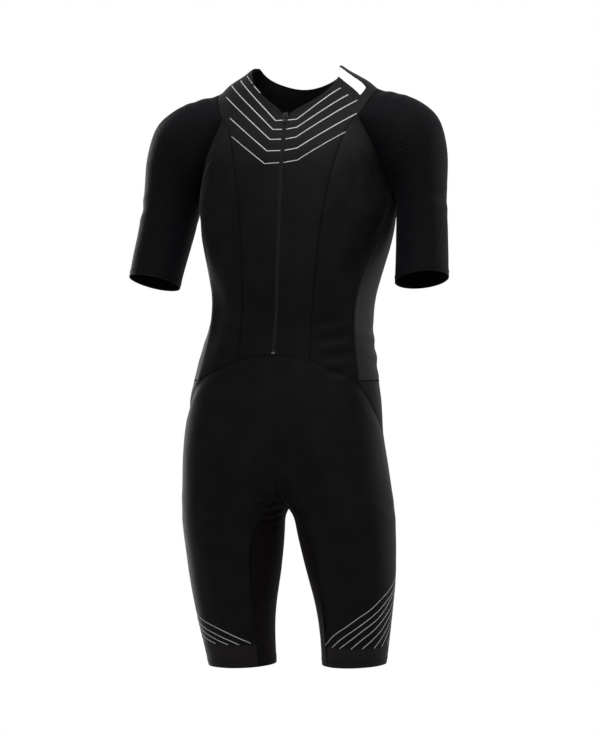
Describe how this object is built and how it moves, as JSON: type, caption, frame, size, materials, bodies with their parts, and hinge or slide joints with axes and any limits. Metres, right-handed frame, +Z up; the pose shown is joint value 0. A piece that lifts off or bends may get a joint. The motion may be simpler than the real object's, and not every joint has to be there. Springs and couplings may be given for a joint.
{
  "type": "short-sleeved triathlon suit",
  "caption": "Short-sleeved one-piece triathlon suit with a half-length front zip, fitted shorts and a bare shoulder label, filled out as worn and hollow inside.",
  "frame": {"origin": "midway between the wearer's shoulders, at the height of the neck's root", "axes": "+Z up the standing suit, -Y to its front where the zip is, +X to the wearer's left"},
  "size_m": [0.534, 0.239, 0.9961],
  "materials": {
    "main_cloth": "smooth black knit with a soft sheen",
    "sleeve_cloth": "bluish black waffle knit",
    "flank_cloth": "warm dark grey open mesh knit",
    "inner_leg_cloth": "matt black knit",
    "zip_tape": "woven tape with moulded coil",
    "zip_metal": "satin black",
    "stop_plastic": "moulded grey",
    "label_cloth": "smooth white label cloth, bare"
  },
  "bodies": {
    "suit": {"front_centre_left": "main_cloth", "front_centre_right": "main_cloth", "front_side_left": "main_cloth", "front_side_right": "main_cloth", "side_panel_left": "flank_cloth", "side_panel_right": "flank_cloth", "back_panel": "main_cloth", "sleeve_left": "sleeve_cloth", "sleeve_right": "sleeve_cloth", "shorts_front": "main_cloth", "shorts_back_left": "main_cloth", "shorts_back_right": "main_cloth", "inner_leg_left": "inner_leg_cloth", "inner_leg_right": "inner_leg_cloth", "zip_chain": "zip_tape", "zip_slider": "zip_metal", "zip_bottom_stop": "stop_plastic", "shoulder_label": "label_cloth"},
    "pull_tab": {"zip_pull_tab": "zip_metal"}
  },
  "joints": [
    {"name": "pull_tab_swing", "type": "hinge", "parent": "suit", "child": "pull_tab", "pos_m": [0, -0.08708, -0.07761], "axis": [-1, 0, 0], "range_deg": [0, 165]}
  ]
}
